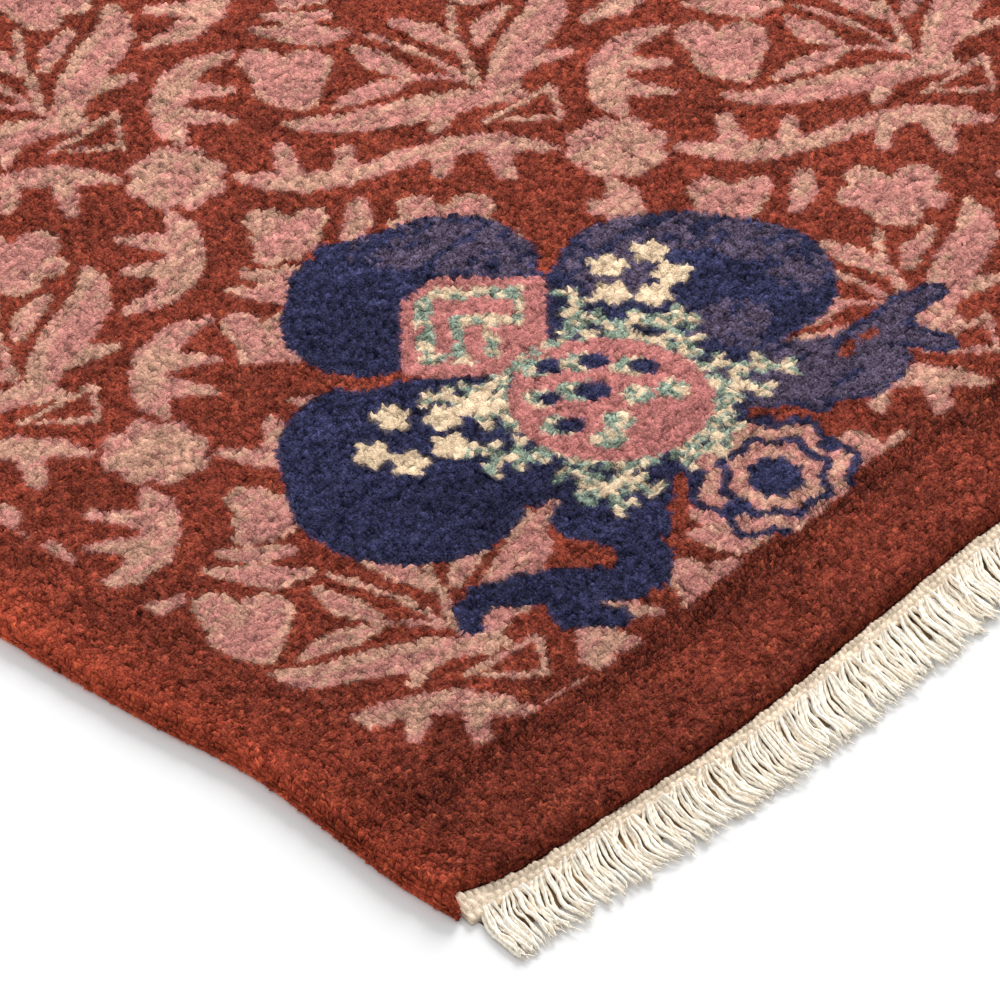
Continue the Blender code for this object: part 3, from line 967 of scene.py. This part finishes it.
def thread_paths(rng):
    """The warp ends of the near end: where each runs, and how thick it is along its way."""
    share = np.append(np.linspace(0, 0.975, THREAD_RINGS - 1), 1.0)
    for index in range(BUNDLES):
        start = max(bundle_edge(index), FIRST_THREAD - WIDTH / 2)
        pitch = bundle_edge(index + 1) - start
        turn = 2 * index
        lean = LEAN + LEAN_VARIATION * math.sin(0.31 * turn) + rng.normal(0, 0.0005)
        curl = CURL * rng.uniform(0.4, 1.2)
        reach = FRINGE_REACH + REACH_VARIATION * math.sin(2.4 * turn) * math.cos(0.7 * turn)
        neck = rng.uniform(*NECK)
        sway = rng.uniform(0.0002, 0.0011), rng.uniform(0.9, 1.6), rng.random()
        opened = np.sin(np.minimum(share / 0.30, 1.0) * math.pi / 2)
        spread = neck + (SPREAD - neck) * opened
        for number in range(THREADS):
            spot = (number + 0.5) / THREADS - 0.5 + rng.normal(0, 0.03)
            far_out = reach * rng.uniform(0.86, 1.08)
            own_lean = lean + rng.normal(0, 0.0009)
            bend = sway[0] * np.sin(math.tau * (share * sway[1] + sway[2]))
            own_bend = rng.uniform(0.0002, 0.0009)
            bend = bend + own_bend * np.sin(math.tau * (share * rng.uniform(1.0, 2.2) + rng.random()))
            x = start + pitch * (0.5 + spot * spread) - own_lean * share - curl * np.sin(math.pi * share)
            x = x + bend * np.minimum(share * 3, 1)
            layer = rng.integers(0, THREAD_LAYERS)
            z = THREAD_RADIUS + layer * (0.0007 + 0.0004 * (1 - opened)) * (1 - 0.45 * share)
            z = z + 0.0007 * (1 - opened) + 0.0004 * np.sin(math.tau * (share * 1.3 + rng.random())) ** 2
            lx, ly = lay_woven(x, WOVEN_WIDTH - THREAD_OVERLAP + (far_out + THREAD_OVERLAP) * share)
            radius = THREAD_RADIUS * rng.uniform(0.90, 1.12) * (1 - 0.10 * share)
            radius[-1] *= 0.12
            yield np.stack([lx, ly, z], axis=-1), radius, share * (far_out * 1000)


def fringe(name, finish, far):
    """The loose warp ends of one end, with frayed tips."""
    rng = np.random.default_rng(17)
    points, faces, strand, bake = [], [], [], []
    total = 0
    cells = 29

    def add_tube(path, radius, sides, run, cell):
        nonlocal total
        rings = tube(path, radius, sides, rng.random())
        count = len(path)
        points.append(rings.reshape(-1, 3))
        r, k = np.indices((count - 1, sides))
        base = total + (r * sides + k).ravel()
        follow = total + (r * sides + (k + 1) % sides).ravel()
        faces.append(np.stack([base, follow, follow + sides, base + sides], axis=1))
        u = np.stack([k, k + 1, k + 1, k], axis=-1).reshape(-1) / sides
        v = np.stack([r, r, r + 1, r + 1], axis=-1).reshape(-1)
        strand.append(np.stack([u, np.interp(v, np.arange(count), run)], axis=-1))
        cell_x = (cell % cells + 0.1 + 0.8 * v / (count - 1)) / cells
        cell_y = (cell // cells + 0.1 + 0.8 * u) / cells
        bake.append(np.stack([cell_x, cell_y], axis=-1))
        total += count * sides

    for number, (path, radius, run) in enumerate(thread_paths(rng)):
        cell = min(number, cells * cells - 1)
        add_tube(path, radius, THREAD_SIDES, run, cell)
        heading = path[-1] - path[-2]
        heading /= np.linalg.norm(heading)
        for _ in range(TIP_FIBRES):
            out = heading + rng.normal(0, 0.30, 3) * (1, 1, 0.4)
            length = rng.uniform(*TIP_LENGTH)
            start = path[-1] - heading * 0.0014 + rng.normal(0, 0.0002, 3)
            ends = np.stack([start, start + out * length * 0.5, start + out * length + (0, 0, -0.0003)])
            ends[:, 2] = ends[:, 2].clip(0.0002, None)
            add_tube(ends, TIP_RADIUS, 3, np.arange(3.0), cell)
    points = np.concatenate(points)
    points[:, 2] = points[:, 2].clip(0.0, None)
    if far:
        points = turned_round(points)
    return add_mesh(name, points, np.concatenate(faces), finish, None,
                    {"strand": np.concatenate(strand), "OFBake": np.concatenate(bake)})


# The setting


def facing(piece, aim):
    """The turn that points a light or a camera at this place."""
    return (mathutils.Vector(aim) - piece.location).to_track_quat("-Z", "Y").to_euler()


def floor_and_light():
    """A pale floor under a white sky, with one soft light from behind on the right."""
    bpy.ops.mesh.primitive_plane_add(size=FLOOR_SIZE, location=(0.0, 0.0, -FLOOR_SUNK))
    floor = bpy.context.object
    floor.name = "floor"
    paper = Finish("pale_floor", 0.9)
    floor.data.materials.append(paper.finish(FLOOR_TONE))

    world = bpy.data.worlds.new("studio")
    world.use_nodes = True
    sky = world.node_tree.nodes["Background"]
    sky.inputs["Color"].default_value = (1.0, 1.0, 1.0, 1.0)
    sky.inputs["Strength"].default_value = SKY_STRENGTH
    bpy.context.scene.world = world

    bpy.ops.object.light_add(type="AREA", location=KEY_PLACE)
    key = bpy.context.object
    key.name = "key_light"
    key.data.size = KEY_SIZE
    key.data.energy = KEY_POWER
    key.rotation_euler = facing(key, KEY_AIM)


def camera():
    """The camera as fitted to the photo: a long lens, aimed at the near left corner."""
    bpy.ops.object.camera_add(location=CAMERA_PLACE)
    seen_from = bpy.context.object
    seen_from.name = "camera"
    seen_from.data.lens = CAMERA_LENS
    seen_from.data.sensor_width = CAMERA_FILM
    seen_from.rotation_euler = facing(seen_from, CAMERA_AIM)
    bpy.context.scene.camera = seen_from


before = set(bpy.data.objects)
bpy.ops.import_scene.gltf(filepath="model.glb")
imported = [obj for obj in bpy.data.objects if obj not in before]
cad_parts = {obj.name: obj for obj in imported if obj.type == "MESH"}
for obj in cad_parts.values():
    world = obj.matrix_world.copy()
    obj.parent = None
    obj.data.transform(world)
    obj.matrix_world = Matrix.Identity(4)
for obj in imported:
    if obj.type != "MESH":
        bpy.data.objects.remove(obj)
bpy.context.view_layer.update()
bpy.ops.object.select_all(action="DESELECT")
bpy.context.scene.view_settings.view_transform = "Standard"

camera()
floor_and_light()

strips = pile_pieces(wool_pile())
ground = ground_weave(knot_backs())
cotton = woven_cotton()
threads = plied_cotton()
ends = []
for side, far in (("near", False), ("far", True)):
    strip = woven_end(f"woven_end_{side}", cotton, far)
    loose = fringe(f"fringe_{side}", threads, far)
    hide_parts(f"fringed_end_{side}")
    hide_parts(f"fringed_end_{side}")
    ends += [strip, loose]

for piece in strips + [ground]:
    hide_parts("pile_body")
for piece in strips + [ground] + ends:
    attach(piece, "root")
